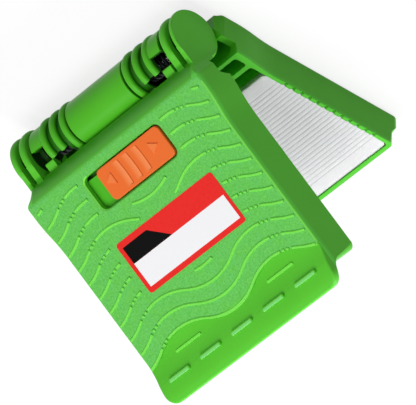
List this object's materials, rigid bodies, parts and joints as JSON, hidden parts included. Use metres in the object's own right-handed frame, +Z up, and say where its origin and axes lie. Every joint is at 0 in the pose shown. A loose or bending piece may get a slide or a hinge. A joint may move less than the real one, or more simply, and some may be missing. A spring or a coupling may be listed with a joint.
{
  "type": "fibre cleaning clamshell",
  "caption": "Hinged clamshell tool for wiping bare optical fibres, with a sprung cover, a side-to-side slider tab and white wiping pads.",
  "frame": {"origin": "centre of the base's flat underside", "axes": "+Z up, -Y towards the cover's front lip, X along the hinge pin"},
  "size_m": [0.0758, 0.0789, 0.0689],
  "materials": {
    "green_shell_plastic": "moulded green ABS, fine grain on the cover's panel and smooth elsewhere",
    "inner_plastic": "moulded dark green ABS, smooth",
    "orange_plastic": "moulded orange ABS, satin",
    "steel": "plain bright steel",
    "foam": "closed-cell grey foam",
    "white_cloth": "lint-free wiping cloth with fine channels",
    "label_film": "printed film label with plain fields of red, white and black"
  },
  "bodies": {
    "base": {"base_shell": "green_shell_plastic", "lower_pad_tray": "inner_plastic", "tray_screws": "steel", "lower_foam_pad": "foam", "lower_wiping_cloth": "white_cloth", "hinge_pin": "steel", "torsion_spring_right": "steel", "torsion_spring_left": "steel"},
    "cover": {"cover_shell": "green_shell_plastic", "label": "label_film", "rear_guide_rail": "inner_plastic", "front_guide_rail": "inner_plastic", "rail_screws": "steel"},
    "slider": {"slider_tab": "orange_plastic", "slider_carriage": "inner_plastic", "tab_screws": "steel", "pad_platen": "inner_plastic", "platen_screws": "steel", "upper_foam_pad": "foam", "upper_wiping_cloth": "white_cloth", "detent_leaf": "steel", "leaf_rivets": "steel"}
  },
  "joints": [
    {"name": "cover_hinge", "type": "hinge", "parent": "base", "child": "cover", "pos_m": [0, 0.0386, 0.0114], "axis": [1, 0, 0], "range_deg": [0, 37], "stiffness_Nm_per_rad": 0.15, "springref_deg": -22.92, "deforming": ["torsion_spring_right", "torsion_spring_left"]},
    {"name": "slider_travel", "type": "slide", "parent": "cover", "child": "slider", "axis": [-1, 0, 0], "range_m": [0, 0.005], "deforming": ["detent_leaf"]}
  ]
}
